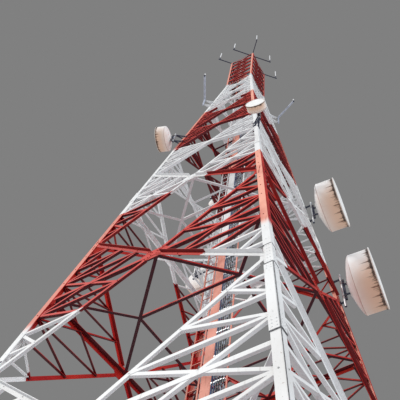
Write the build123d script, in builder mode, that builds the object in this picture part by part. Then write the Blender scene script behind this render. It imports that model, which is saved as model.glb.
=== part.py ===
"""Self-supporting square lattice tower for radio links, at 1:2, in millimetres.

Four angle legs lean inwards from base plates on the ground, then stand upright in a short head.
In each bay of a face, straight angles run from the legs to a node on a level beam.
A climbing ladder and a cable rack run up the middle, held by level frames inside the tower.
Drum dishes and boom aerials hang on pipes outside the legs.
+Z is up, and the origin is on the ground in the middle of the four legs.
"""
import os
from math import atan2, cos, degrees, hypot, pi, sin, sqrt

from build123d import *

os.makedirs("parts", exist_ok=True)

# Overall shape, measured at the outer corners of the legs
base_width = 6050
head_width = 1250
taper_height = 24000
head_height = 4000

# Bays of bracing, from the ground up; each short bay is lower than the one under it.
# The bars of a bay meet at node_share of its height.
tall_bays = 4
tall_bay_height = 3550
short_bays = 6
short_bay_shrink = 0.93
head_bays = 6
node_share = 0.5

# Angles: width of a flange and its thickness
leg_flange, leg_thick = 125, 12
upper_leg_flange, upper_leg_thick = 100, 10
head_leg_flange, head_leg_thick = 75, 8
brace_flange, brace_thick = 70, 6
strut_flange = 48
cross_web = 95
short_brace_flange = 50
head_brace_flange, head_brace_thick = 34, 4

# Where the legs are spliced
lower_splice, upper_splice = 7100, 12900
splice_length, splice_thick = 520, 10
joint_plate_size, joint_plate_thick = 150, 12

# Feet
plate_size, plate_thick = 440, 20
anchor_hole_radius, anchor_pitch = 14, 340
rib_height, rib_thick = 150, 10

# Where bars stop, counted from the outer corner of the leg
bar_end_gap = 34
web_end_gap = 112
web_level_gap = 75
web_share = 0.94
section_gap = 2

# Level frames inside the tower
frame_flange, frame_thick = 60, 5

# Ladder and cable rack in the middle; both rest against the frames' middle beams
ladder_x, ladder_width = -400, 220
stile_width, stile_depth = 30, 12
rung_pitch, rung_size = 300, 14
rack_x, rack_width = 110, 330
rack_bar_pitch, rack_bar_size = 1200, 24
tray_width = 190
cable_radius, cable_count, cable_pitch = 15, 6, 46
climb_foot, rack_top_gap = 350, 600

# Flats round the dishes, the pipes and cables, and the rods
dish_sides, pipe_sides, rod_sides = 40, 12, 10

# Dishes: diameters, depths, and heights of their middles above the ground
large_dish, large_dish_depth = 1480, 740
medium_dish, medium_dish_depth = 800, 400
small_dish, small_dish_depth = 510, 270
wide_dish, wide_dish_depth = 1000, 430
lower_dish_height, upper_dish_height = 10950, 14350
left_dish_height, front_dish_height = 17050, 14460
lower_back_dish_height, upper_back_dish_height = 14050, 17800

# Pipe mounts of the dishes and booms, counted from a leg's outer corner
pipe_radius, pipe_share = 30, 0.78
near_reach, corner_reach, far_reach = 150, 160, 550
arm_plate, arm_inset = 24, 85
holder_depth, holder_width = 60, 50
long_holder, short_holder = 170, 110

# Rod aerials on the head, and booms on the legs under it
rod_radius, rod_length = 18, 950
sleeve_radius, sleeve_length = 27, 350
arm_length, arm_size = 470, 40
crossbar_centre, crossbar_length = 500, 1980
boom_radius, boom_length, boom_rod = 38, 970, 300
boom_pipe, boom_reach = 650, 200
left_boom_drop, right_boom_drop = 2900, 2300

lean = (base_width - head_width) / 2 / taper_height
slope = sqrt(1 + lean**2)
tall_top = tall_bays * tall_bay_height
total_height = taper_height + head_height


def half_width(z):
    """Distance from the tower's axis to the outside of a face at height z."""
    return head_width / 2 + lean * max(taper_height - z, 0)


def face_plane(z, depth=0):
    """A plane parallel to the front face, the given depth behind it, with v up the slope."""
    leaning = z < taper_height
    normal = Vector(0, -1, lean if leaning else 0).normalized()
    return Plane(origin=Vector(0, -half_width(z), z) - normal * depth, x_dir=(1, 0, 0), z_dir=normal)


def strip(start, end, width, shift=0):
    """A straight bar in the current sketch, moved sideways by shift."""
    run_x, run_y = end[0] - start[0], end[1] - start[1]
    length = hypot(run_x, run_y)
    middle_x = (start[0] + end[0]) / 2 - shift * run_y / length
    middle_y = (start[1] + end[1]) / 2 + shift * run_x / length
    with Locations((middle_x, middle_y)):
        Rectangle(length, width, rotation=degrees(atan2(run_y, run_x)))


def along(start, end, share):
    """The point that lies the given share of the way from start to end."""
    return (start[0] + (end[0] - start[0]) * share, start[1] + (end[1] - start[1]) * share)


def trim(bottom, top, inset, gap=section_gap / 2):
    """Keep only what lies between the legs of one section, inset from their outer corners."""
    scale = slope if bottom < taper_height else 1
    wide, narrow = half_width(bottom) - inset, half_width(top) - inset
    low = plate_thick + 10 if bottom == 0 else gap
    high = (top - bottom) * scale - (joint_plate_thick + 4 if top == taper_height else gap)
    Polygon((-wide, low), (wide, low), (narrow, high), (-narrow, high), align=None, mode=Mode.INTERSECT)


def save(part, name):
    part.label = name
    export_step(part, f"parts/{name}.step")


def turned(part, quarter):
    """A copy of a front piece, turned round the tower's axis by quarter turns."""
    with BuildPart() as copy:
        add(part, rotation=(0, 0, 90 * quarter))
    return copy.part


def angle_leg(bottom, top, flange, thick):
    """One length of the right-hand front leg: an angle with its heel on the tower's corner."""
    corner = half_width(bottom)
    shift = half_width(top) - corner
    run = Vector(shift, -shift, top - bottom)
    with BuildPart() as length:
        with BuildSketch(Plane((corner, -corner, bottom))):
            with BuildLine():
                Polyline((0, 0), (-flange, 0), (-flange, thick), (-thick, thick),
                         (-thick, flange), (0, flange), close=True)
            make_face()
        extrude(amount=run.length, dir=run)
    return length.part


def four_legs(bottom, top, flange, thick, name):
    with BuildPart() as legs:
        for quarter in range(4):
            add(angle_leg(bottom, top, flange, thick), rotation=(0, 0, 90 * quarter))
    save(legs.part, name)


def node_height(bottom, top):
    """Height at which the bars of a bay meet."""
    return bottom + (top - bottom) * node_share


def corner_point(z, origin, side, inset=60):
    """A bar's end on the leg at height z, in the sketch of a section that starts at origin."""
    scale = slope if origin < taper_height else 1
    return (side * (half_width(z) - inset), (z - origin) * scale)


def bay_bars(bottom, top, origin):
    """The four straight bars of a bay, each from a leg to the node: two that rise, two that fall."""
    scale = slope if origin < taper_height else 1
    node = (0, (node_height(bottom, top) - origin) * scale)
    ends = ((bottom, -1), (top, 1), (bottom, 1), (top, -1))
    return [(corner_point(z, origin, side), node) for z, side in ends]


def struts(bottom, top, origin):
    """Secondary bars that hold the legs and diagonals of a tall bay at their half and quarter points."""
    middle = node_height(bottom, top)
    for tip, node in bay_bars(bottom, top, origin):
        end = bottom if tip[1] < node[1] else top
        side = 1 if tip[0] > 0 else -1
        half_z, near_z = (end + middle) / 2, end + (middle - end) * 0.75
        half, near = along(tip, node, 0.5), along(tip, node, 0.75)
        strip(corner_point(half_z, origin, side), half, strut_flange)
        strip(corner_point(near_z, origin, side), near, strut_flange)
        strip(corner_point(near_z, origin, side), half, strut_flange)


def level_bar(z, origin, flange, thick):
    """The upright flange of a main horizontal, with its upper edge just above height z."""
    v = (z - origin) * slope - flange / 2 + thick
    strip((-half_width(z), v), (half_width(z), v), flange)


def bar_web(tip, node, side):
    """The outstanding flange of a bar, along one of its edges and clear of the node."""
    strip(tip, along(tip, node, web_share), brace_thick, side * (brace_flange - brace_thick) / 2)


def tall_section(bottom, top):
    """The bracing of one face in one tall bay."""
    middle = node_height(bottom, top)
    depth = leg_thick / slope + brace_thick
    bars = bay_bars(bottom, top, bottom)
    with BuildPart() as section:
        with BuildSketch(face_plane(bottom, depth)):
            for bar in bars:
                strip(*bar, brace_flange)
            level_bar(middle, bottom, brace_flange, brace_thick)
            struts(bottom, top, bottom)
            trim(bottom, top, bar_end_gap)
        extrude(amount=brace_thick)
        with BuildSketch(face_plane(bottom, depth)):
            bar_web(*bars[0], 1)
            bar_web(*bars[1], -1)
            trim(bottom, top, web_end_gap, web_level_gap)
        extrude(amount=-(brace_flange - brace_thick))
        with BuildSketch(face_plane(bottom, depth)):
            bar_web(*bars[2], -1)
            bar_web(*bars[3], 1)
            trim(bottom, top, leg_flange + 15, web_level_gap)
        extrude(amount=brace_flange)
        add(cross_beam_web(middle, leg_thick))
    return section.part


def cross_beam_web(z, leg_wall):
    """The level flange of a main horizontal, which carries the frame inside the tower."""
    with BuildPart() as web:
        with BuildSketch(Plane.XY.offset(z)):
            with Locations((0, -half_width(z) + leg_wall + 2)):
                Rectangle(2 * (half_width(z) - web_end_gap), cross_web, align=(Align.CENTER, Align.MIN))
        extrude(amount=brace_thick)
    return web.part


def short_levels():
    """Heights where the short bays meet."""
    first = (taper_height - tall_top) * (1 - short_bay_shrink) / (1 - short_bay_shrink**short_bays)
    heights = [first * short_bay_shrink**count for count in range(short_bays)]
    return [tall_top + sum(heights[:count]) for count in range(short_bays + 1)]


def short_section():
    """The bracing of one face over all the short bays, with a level beam at each node."""
    levels = short_levels()
    bays = list(zip(levels, levels[1:]))
    bottom, top = levels[0], levels[-1]
    with BuildPart() as section:
        with BuildSketch(face_plane(bottom, upper_leg_thick / slope + brace_thick)):
            for low, high in bays:
                for bar in bay_bars(low, high, bottom):
                    strip(*bar, short_brace_flange)
                level_bar(node_height(low, high), bottom, short_brace_flange, brace_thick)
            trim(bottom, top, bar_end_gap)
        extrude(amount=brace_thick)
        for low, high in bays:
            add(cross_beam_web(node_height(low, high), upper_leg_thick))
    return section.part


def head_levels():
    step = head_height / head_bays
    return [taper_height + step * count for count in range(head_bays + 1)]


def head_section():
    """The bracing of one face of the upright head."""
    levels = head_levels()
    depth = head_leg_thick + head_brace_thick
    with BuildPart() as section:
        with BuildSketch(face_plane(taper_height, depth)):
            for low, high in zip(levels, levels[1:]):
                for bar in bay_bars(low, high, taper_height):
                    strip(*bar, head_brace_flange)
            for level in levels:
                height = level - taper_height
                strip((-head_width / 2, height), (head_width / 2, height), 2 * head_brace_flange)
            trim(taper_height, total_height, bar_end_gap)
        extrude(amount=head_brace_thick)
    return section.part


def base_plates():
    """A plate under each leg with four anchor holes, and a rib against each flange of the leg."""
    centre = base_width / 2 - leg_flange / 2
    foot_z, head_z = plate_thick, plate_thick + rib_height
    rib_end = centre + plate_size / 2 - 2 * rib_thick
    with BuildPart() as plate:
        with BuildSketch():
            with Locations((centre, -centre)):
                Rectangle(plate_size, plate_size)
                with GridLocations(anchor_pitch, anchor_pitch, 2, 2):
                    Circle(anchor_hole_radius, mode=Mode.SUBTRACT)
        extrude(amount=plate_thick)
        for turn in (0, -90):
            with BuildPart(mode=Mode.PRIVATE) as rib:
                side = -1 if turn == 0 else 1
                with BuildSketch(Plane(origin=(0, side * centre, 0), x_dir=(1, 0, 0), z_dir=(0, -1, 0))):
                    with BuildLine():
                        foot, head = half_width(foot_z), half_width(head_z)
                        Polyline((foot, foot_z), (rib_end, foot_z), (rib_end, foot_z + rib_thick),
                                 (head + rib_thick, head_z), (head, head_z), close=True)
                    make_face()
                extrude(amount=rib_thick / 2, both=True)
            add(rib.part, rotation=(0, 0, turn))
    with BuildPart() as plates:
        for quarter in range(4):
            add(plate.part, rotation=(0, 0, 90 * quarter))
    save(plates.part, "base_plates")


def leg_splices():
    """Cover angles over the joints between the lengths of the legs."""
    with BuildPart() as splices:
        for joint in (lower_splice, upper_splice):
            bottom, top = joint - splice_length / 2, joint + splice_length / 2
            corner = half_width(bottom)
            shift = half_width(top) - corner
            run = Vector(shift, -shift, top - bottom)
            for quarter in range(4):
                with BuildPart(mode=Mode.PRIVATE) as cover:
                    with BuildSketch(Plane((corner, -corner, bottom))):
                        with BuildLine():
                            outer, wide = splice_thick, upper_leg_flange
                            Polyline((outer, -outer), (-wide, -outer), (-wide, 0), (0, 0),
                                     (0, wide), (outer, wide), close=True)
                        make_face()
                    extrude(amount=run.length, dir=run)
                add(cover.part, rotation=(0, 0, 90 * quarter))
    save(splices.part, "leg_splices")


def level_frame(z, leg_wall, braced):
    """A frame of flat bars that lies on the main horizontals and carries the ladder and the rack."""
    reach = half_width(z) - leg_wall - cross_web + 25
    corner = half_width(z) - 85
    half = reach / 2
    with BuildPart() as frame:
        with BuildSketch(Plane.XY.offset(z + brace_thick)):
            if braced:
                tips = ((0, -reach), (reach, 0), (0, reach), (-reach, 0))
                for start, end in zip(tips, tips[1:] + tips[:1]):
                    strip(start, end, frame_flange)
                for x in (-1, 1):
                    strip((x * half, -half), (x * half, half), frame_flange)
                    strip((-half, x * half), (half, x * half), frame_flange)
                    for y in (-1, 1):
                        strip((x * half, y * half), (x * corner, y * corner), frame_flange)
                across = half
            else:
                across = reach + 10
            behind = stile_depth / 2 + frame_flange / 2
            strip((-across, behind), (across, behind), frame_flange)
        extrude(amount=frame_thick)
    return frame.part


def level_frames():
    tall_levels = [(count + node_share) * tall_bay_height for count in range(tall_bays)]
    with BuildPart() as frames:
        for level in tall_levels:
            add(level_frame(level, leg_thick, True))
    save(frames.part, "level_frames")
    levels = short_levels()
    with BuildPart() as beams:
        for low, high in zip(levels, levels[1:]):
            add(level_frame(node_height(low, high), upper_leg_thick, False))
    save(beams.part, "upper_level_beams")


def ladder():
    """Two flat stiles joined by rungs, standing upright in the middle of the tower."""
    height = total_height - climb_foot
    count = int(height // rung_pitch)
    with BuildPart() as rails:
        with BuildSketch(Plane(origin=(ladder_x, stile_depth / 2, climb_foot), x_dir=(1, 0, 0),
                               z_dir=(0, -1, 0))):
            with Locations((0, height / 2)):
                with GridLocations(ladder_width, 0, 2, 1):
                    Rectangle(stile_width, height)
            with Locations((0, height / 2)):
                with GridLocations(0, rung_pitch, 1, count):
                    Rectangle(ladder_width, rung_size)
        extrude(amount=stile_depth)
    save(rails.part, "ladder")


def cable_rack():
    """Two side bars with cross bars, a flat tray beside them, and the feeder cables clamped in front."""
    height = total_height - climb_foot - rack_top_gap
    count = int(height // rack_bar_pitch)
    with BuildPart() as rack:
        with BuildSketch(Plane(origin=(rack_x, stile_depth / 2, climb_foot), x_dir=(1, 0, 0),
                               z_dir=(0, -1, 0))):
            with Locations((0, height / 2)):
                with GridLocations(rack_width, 0, 2, 1):
                    Rectangle(stile_width, height)
                with GridLocations(0, rack_bar_pitch, 1, count):
                    Rectangle(rack_width, rack_bar_size)
            with Locations((-(rack_width + tray_width) / 2, height / 2)):
                Rectangle(tray_width, height)
        extrude(amount=stile_depth)
    save(rack.part, "cable_rack")
    with BuildPart() as cables:
        with BuildSketch(Plane.XY.offset(climb_foot)):
            with Locations((rack_x, -stile_depth / 2 - cable_radius)):
                with GridLocations(cable_pitch, 0, cable_count, 1):
                    RegularPolygon(cable_radius, pipe_sides)
        extrude(amount=height)
    save(cables.part, "feeder_cables")


def flared_back(hub, radius, depth, start):
    """The back of a dish, wider along +X: where prisms cross, one for each pair of its flat sides."""
    narrow, wide = hub * cos(pi / dish_sides), radius * cos(pi / dish_sides)
    with BuildPart() as back:
        for count in range(dish_sides // 2):
            turn = 2 * pi * (count + 0.5) / dish_sides
            with BuildSketch(Plane(origin=(start, 0, 0), x_dir=(1, 0, 0), z_dir=(0, -sin(turn), cos(turn)))):
                Polygon((0, -narrow), (depth, -wide), (depth, wide), (0, narrow), align=None)
            extrude(amount=radius, both=True, mode=Mode.INTERSECT if count else Mode.ADD)
    return back.part


def dish(diameter, depth, start):
    """A drum dish that faces +X, start away from its pipe: flat hub, flared back, drum and rim band."""
    radius = diameter / 2
    back, rim = depth * 0.25, depth * 0.93
    with BuildPart() as drum:
        add(flared_back(radius * 0.35, radius, back, start))
        for low, high, size in ((back, rim, radius), (rim, depth, radius * 1.03)):
            with BuildSketch(Plane.YZ.offset(start + low)):
                RegularPolygon(size, dish_sides)
            extrude(amount=high - low)
    return drum.part


def pipe_on_leg(z, height, reach_x, reach_y):
    """An upright pipe outside the right-hand back leg, on two plates that fit the leaning flange."""
    pipe_x, pipe_y = half_width(z) + reach_x, half_width(z) + reach_y
    with BuildPart() as mount:
        with BuildSketch(Plane.XY.offset(z - height / 2)):
            with Locations((pipe_x, pipe_y)):
                RegularPolygon(pipe_radius, pipe_sides)
        extrude(amount=height)
        for level in (z - height * 0.36, z + height * 0.36):
            low, high = level - arm_plate / 2, level + arm_plate / 2
            inner_y = half_width(level) - arm_inset
            outer_y = max(inner_y + holder_depth, pipe_y + pipe_radius)
            with BuildSketch(Plane(origin=(0, inner_y, 0), x_dir=(1, 0, 0), z_dir=(0, -1, 0))):
                with BuildLine():
                    Polyline((half_width(low), low), (pipe_x + 10, low), (pipe_x + 10, high),
                             (half_width(high), high), close=True)
                make_face()
            extrude(amount=inner_y - outer_y)
    return mount.part


def holder(height, length, grip):
    """A channel on the pipe with two stubs that reach a dish's hub, along +X from the pipe."""
    with BuildPart() as channel:
        with BuildSketch(Plane(origin=(0, 0, 0), x_dir=(1, 0, 0), z_dir=(0, -1, 0))):
            with Locations((15, 0)):
                Rectangle(holder_depth, height, align=(Align.MIN, Align.CENTER))
            with Locations((15, grip), (15, -grip)):
                Rectangle(length - 15, arm_plate, align=(Align.MIN, Align.CENTER))
        extrude(amount=holder_width / 2, both=True)
    return channel.part


def on_leg(part, side_x, side_y):
    """A copy of a piece of the right-hand back leg, mirrored to the leg on the given sides."""
    with BuildPart() as copy:
        add(part)
        if side_x < 0:
            mirror(about=Plane.YZ, mode=Mode.REPLACE)
        if side_y < 0:
            mirror(about=Plane.XZ, mode=Mode.REPLACE)
    return copy.part


def dish_on_leg(name, size, z, reach, turn, length, sides):
    """Save a dish on a pipe, turned about it from +X, and return the mount."""
    diameter, depth = size
    place = Location((half_width(z) + reach[0], half_width(z) + reach[1], z), (0, 0, turn))
    pipe = diameter * pipe_share
    save(on_leg(dish(diameter, depth, length).moved(place), *sides), name)
    with BuildPart() as mount:
        add(pipe_on_leg(z, pipe, *reach))
        add(holder(pipe * 0.62, length, diameter / 8).moved(place))
    return on_leg(mount.part, *sides)


def joined(parts, name):
    with BuildPart() as group:
        for part in parts:
            add(part)
    save(group.part, name)


def dishes():
    flange_middle = -arm_inset + holder_depth / 2
    large, wide = (large_dish, large_dish_depth), (wide_dish, wide_dish_depth)
    medium, small = (medium_dish, medium_dish_depth), (small_dish, small_dish_depth)
    near, far = (near_reach, flange_middle), (far_reach, flange_middle)
    joined((dish_on_leg("lower_right_dish", large, lower_dish_height, near, 5, long_holder, (1, 1)),
            dish_on_leg("upper_right_dish", large, upper_dish_height, near, 5, long_holder, (1, 1))),
           "large_dish_mounts")
    corner = (corner_reach, corner_reach)
    joined((dish_on_leg("left_dish", medium, left_dish_height, corner, 20, short_holder, (-1, -1)),
            dish_on_leg("front_dish", small, front_dish_height, corner, 80, short_holder, (1, -1)),
            dish_on_leg("lower_back_dish", wide, lower_back_dish_height, far, 90, long_holder, (-1, 1)),
            dish_on_leg("upper_back_dish", small, upper_back_dish_height, far, 90, long_holder, (-1, 1))),
           "small_dish_mounts")


def head_aerials():
    """Level arms from the corners of the head and a crossbar by one of them, with rods on their ends."""
    tip = head_width / 2 + arm_length
    side = crossbar_length / 2 / sqrt(2)
    end_a = (crossbar_centre - side, -crossbar_centre - side)
    end_b = (crossbar_centre + side, -crossbar_centre + side)
    corners = ((1, 1), (1, -1), (-1, 1), (-1, -1))
    with BuildPart() as arms:
        with BuildSketch(Plane.XY.offset(total_height)):
            for x, y in corners:
                strip((x * crossbar_centre, y * crossbar_centre), (x * tip, y * tip), arm_size)
            strip(end_a, end_b, arm_size)
        extrude(amount=arm_size)
    save(arms.part, "head_arms")
    inset, share = tip - arm_size, arm_size / crossbar_length
    spots = [(x * inset, y * inset) for x, y in corners]
    spots += [along(end_a, end_b, share), along(end_b, end_a, share)]
    with BuildPart() as rods:
        for radius, start, length in ((sleeve_radius, arm_size, sleeve_length),
                                      (rod_radius, arm_size + sleeve_length, rod_length)):
            with BuildSketch(Plane.XY.offset(total_height + start)):
                with Locations(*spots):
                    RegularPolygon(radius, rod_sides)
            extrude(amount=length)
    save(rods.part, "rod_aerials")


def boom_on_leg(z, turn, sides):
    """A level boom at the top of a pipe, turned about it from +X, with a short rod at its end."""
    pipe_at = half_width(z) + boom_reach
    place = Location((pipe_at, pipe_at, z + boom_pipe / 2), (0, 0, turn))
    with BuildPart() as boom:
        with BuildSketch(Plane.YZ):
            RegularPolygon(boom_radius, rod_sides)
        extrude(amount=boom_length)
        with BuildSketch(Plane.XY.offset(-boom_rod / 4)):
            with Locations((boom_length, 0)):
                RegularPolygon(sleeve_radius, rod_sides)
        extrude(amount=boom_rod)
    with BuildPart() as mounted:
        add(pipe_on_leg(z, boom_pipe, boom_reach, boom_reach))
        add(boom.part.moved(place))
    return on_leg(mounted.part, *sides)


def side_aerials():
    joined((boom_on_leg(taper_height - left_boom_drop, 121, (-1, -1)),
            boom_on_leg(taper_height - right_boom_drop, -22, (1, 1))), "side_aerials")


def head_joint():
    """Plates between the tops of the leaning legs and the feet of the upright ones."""
    centre = head_width / 2 - joint_plate_size / 2 + 20
    with BuildPart() as plates:
        with BuildSketch(Plane.XY.offset(taper_height - joint_plate_thick)):
            with GridLocations(2 * centre, 2 * centre, 2, 2):
                Rectangle(joint_plate_size, joint_plate_size)
        extrude(amount=joint_plate_thick)
    save(plates.part, "head_joint_plates")


four_legs(plate_thick, lower_splice, leg_flange, leg_thick, "bottom_legs")
four_legs(lower_splice, upper_splice, leg_flange, leg_thick, "middle_legs")
four_legs(upper_splice, taper_height - joint_plate_thick, upper_leg_flange, upper_leg_thick, "upper_legs")
four_legs(taper_height, total_height, head_leg_flange, head_leg_thick, "head_legs")
base_plates()
leg_splices()
head_joint()

for bay in range(tall_bays):
    front = tall_section(bay * tall_bay_height, (bay + 1) * tall_bay_height)
    for quarter, side in enumerate(("front", "right", "back", "left")):
        save(turned(front, quarter), f"{side}_bracing_{bay + 1}")
front = short_section()
for quarter, side in enumerate(("front", "right", "back", "left")):
    save(turned(front, quarter), f"{side}_bracing_upper")
front = head_section()
with BuildPart() as head_faces:
    for quarter in range(4):
        add(front, rotation=(0, 0, 90 * quarter))
save(head_faces.part, "head_bracing")

level_frames()
ladder()
cable_rack()
dishes()
head_aerials()
side_aerials()
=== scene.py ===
import math

import bmesh
import bpy
from mathutils import Matrix, Vector


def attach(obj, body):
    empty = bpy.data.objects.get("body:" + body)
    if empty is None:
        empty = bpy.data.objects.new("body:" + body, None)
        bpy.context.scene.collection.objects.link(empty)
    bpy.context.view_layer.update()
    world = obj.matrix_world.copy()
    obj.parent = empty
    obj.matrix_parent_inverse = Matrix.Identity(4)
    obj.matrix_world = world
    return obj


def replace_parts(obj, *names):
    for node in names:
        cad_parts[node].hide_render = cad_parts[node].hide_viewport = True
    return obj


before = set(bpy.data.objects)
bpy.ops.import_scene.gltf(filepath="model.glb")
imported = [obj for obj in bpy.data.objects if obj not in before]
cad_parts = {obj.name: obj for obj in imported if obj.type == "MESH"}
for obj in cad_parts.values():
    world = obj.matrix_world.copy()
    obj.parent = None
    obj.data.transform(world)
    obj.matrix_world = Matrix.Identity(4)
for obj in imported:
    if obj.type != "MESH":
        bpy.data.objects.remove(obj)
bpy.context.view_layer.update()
scene = bpy.context.scene


# The viewpoint is low down beside the nearest leg, looking steeply up the tower. The lens and the
# sideways shift are those of the reference picture, which was cropped: its middle is not the lens's.
photo_width, lens_middle, focal_length = 400, 320, 507.8   # pixels
eye = Vector((4.024, -5.766, 1.579))
heading, climb, roll = 15.19385, 60.2974, -10.86073   # degrees
camera = bpy.data.objects.new("camera", bpy.data.cameras.new("camera"))
scene.collection.objects.link(camera)
camera.matrix_world = (Matrix.Translation(eye)
                       @ Matrix.Rotation(math.radians(heading), 4, "Z")
                       @ Matrix.Rotation(math.radians(90 + climb), 4, "X")
                       @ Matrix.Rotation(math.radians(roll), 4, "Z"))
camera.data.sensor_width = 36
camera.data.lens = focal_length / photo_width * camera.data.sensor_width
camera.data.shift_x = (photo_width / 2 - lens_middle) / photo_width
camera.data.clip_end = 300
scene.camera = camera
scene.view_settings.view_transform = "Standard"


# Soft daylight: a lamp up in front and to the left, a weaker and broader one from the right, and an
# even pale glow from all round. The backdrop is a plain mid grey, also where something shines.
class Field:
    """A value, colour or vector that changes over a surface, so that shader maths reads as plain sums."""

    def __init__(self, socket):
        self.socket = socket
        self.tree = socket.id_data

    def node(self, kind, settings, sockets, output=0):
        made = self.tree.nodes.new(kind)
        for name, value in settings.items():
            setattr(made, name, value)
        for name, value in sockets.items():
            if isinstance(value, Field):
                self.tree.links.new(value.socket, made.inputs[name])
            elif value is not None:
                made.inputs[name].default_value = value
        return Field(made.outputs[output])

    def maths(self, operation, first, second=None):
        kind = "ShaderNodeMath" if self.socket.type == "VALUE" else "ShaderNodeVectorMath"
        return self.node(kind, {"operation": operation}, {0: first, 1: second})

    def __add__(self, other):
        return self.maths("ADD", self, other)

    def __radd__(self, other):
        return self.maths("ADD", other, self)

    def __sub__(self, other):
        return self.maths("SUBTRACT", self, other)

    def __rsub__(self, other):
        return self.maths("SUBTRACT", other, self)

    def __mul__(self, other):
        return self.maths("MULTIPLY", self, other)

    def __rmul__(self, other):
        return self.maths("MULTIPLY", other, self)

    def __truediv__(self, other):
        return self.maths("DIVIDE", self, other)

    def __rtruediv__(self, other):
        return self.maths("DIVIDE", other, self)

    def __mod__(self, other):
        return self.maths("MODULO", self, other)

    def __rmod__(self, other):
        return self.maths("MODULO", other, self)

    def __abs__(self):
        return self.maths("ABSOLUTE", self)

    def __lt__(self, other):
        return self.maths("LESS_THAN", self, other)

    def __gt__(self, other):
        return self.maths("GREATER_THAN", self, other)

    def larger(self, other):
        return self.maths("MAXIMUM", self, other)

    def between(self, low, high):
        """0 below low, 1 above high, and a soft step from one to the other."""
        return self.node("ShaderNodeMapRange", {"interpolation_type": "SMOOTHSTEP"},
                         {"Value": self, "From Min": low, "From Max": high})

    def noise(self, scale, detail=4, roughness=0.55):
        return self.node("ShaderNodeTexNoise", {},
                         {"Vector": self, "Scale": scale, "Detail": detail, "Roughness": roughness})

    def along(self, axis):
        """One of the three numbers of a vector."""
        return self.node("ShaderNodeSeparateXYZ", {}, {0: self}, axis)

    def mix(self, first, second):
        """The first colour where this mask is 0 and the second where it is 1."""
        return self.node("ShaderNodeMix", {"data_type": "RGBA"}, {0: self, 6: first, 7: second}, 2)


def lamp(name, strength, spread, shade, place):
    """A distant lamp in that direction from the tower, as wide as spread degrees."""
    made = bpy.data.objects.new(name, bpy.data.lights.new(name, "SUN"))
    scene.collection.objects.link(made)
    made.data.energy = strength
    made.data.angle = math.radians(spread)
    made.data.color = shade
    made.rotation_mode = "QUATERNION"
    made.rotation_quaternion = Vector(place).to_track_quat("Z", "Y")


lamp("sun", 1.72, 6, (1.0, 0.97, 0.93), (-0.45, -0.65, 0.61))
lamp("fill", 1.3, 40, (0.90, 0.95, 1.0), (0.85, -0.30, 0.30))
world = bpy.data.worlds.new("daylight")
scene.world = world
world.use_nodes = True
glow = world.node_tree.nodes["Background"]
glow.inputs["Color"].default_value = (0.93, 0.95, 1.0, 1)
glow.inputs["Strength"].default_value = 0.60
ray = world.node_tree.nodes.new("ShaderNodeLightPath")
shown = Field(ray.outputs["Is Camera Ray"])
for kind in ("Is Glossy Ray", "Is Transmission Ray"):
    shown = shown.larger(Field(ray.outputs[kind]))
backdrop = shown.node("ShaderNodeBackground", {}, {"Color": (0.216, 0.216, 0.216, 1)})
daylight = shown.node("ShaderNodeMixShader", {}, {0: shown, 1: Field(glow.outputs[0]), 2: backdrop})
world.node_tree.links.new(daylight.socket, world.node_tree.nodes["World Output"].inputs["Surface"])


# The legs and the main bracing are rolled steel angles, galvanised, bolted together and then
# brushed by hand in seven bands of red and white. The red is painted paler on the side towards
# the sun, a painted sunlit highlight, and the undersides are painted darker, painted shade. Rain
# has drawn runs down the bars, and the paint has flaked to brown in small spots.
band_height = 4.0
brush_waver = 0.04
solid_foot = 1.0
low_line_drop, low_line_top = 1.2, 10
front_end, rear_start = -2.1, -1.3
deep_red = (0.42, 0.008, 0.009, 1)
bright_red = (0.60, 0.022, 0.010, 1)
sunlit_leg_red = (0.93, 0.430, 0.315, 1)
sunlit_bar_red = (0.64, 0.034, 0.020, 1)
leg_shade_red = (0.13, 0.006, 0.010, 1)
bar_shade_red = (0.075, 0.004, 0.008, 1)
red_run = (0.15, 0.006, 0.008, 1)
clean_white = (0.87, 0.88, 0.88, 1)
dull_white = (0.76, 0.76, 0.75, 1)
shade_white = (0.78, 0.79, 0.81, 1)
white_run = (0.45, 0.42, 0.38, 1)
flaked = (0.24, 0.11, 0.055, 1)


def surface(name):
    """A new material, its shader, and the place on the piece in metres."""
    made = bpy.data.materials.new(name)
    made.use_nodes = True
    shader = made.node_tree.nodes["Principled BSDF"]
    place = Field(made.node_tree.nodes.new("ShaderNodeTexCoord").outputs["Object"])
    return made, shader, place


def feed(shader, name, field):
    shader.id_data.links.new(field.socket, shader.inputs[name])


def bump(shader, height, depth, strength=0.6):
    feed(shader, "Normal", height.node("ShaderNodeBump", {},
                                       {"Height": height, "Distance": depth, "Strength": strength}))


def facing(place):
    """The direction that the surface faces."""
    return place.node("ShaderNodeNewGeometry", {}, {}, 1)


def painted_sunlight_mask(direction, low, high):
    """1 where a surface faces forwards and to the left, where the painted sunlit highlight goes."""
    return (direction.along(0) * -0.45 - direction.along(1) * 0.85).between(low, high)


# Painted shade: 1 where a surface faces down.
def painted_shade_mask(direction, low, high):
    return (0 - direction.along(2)).between(low, high)


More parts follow.
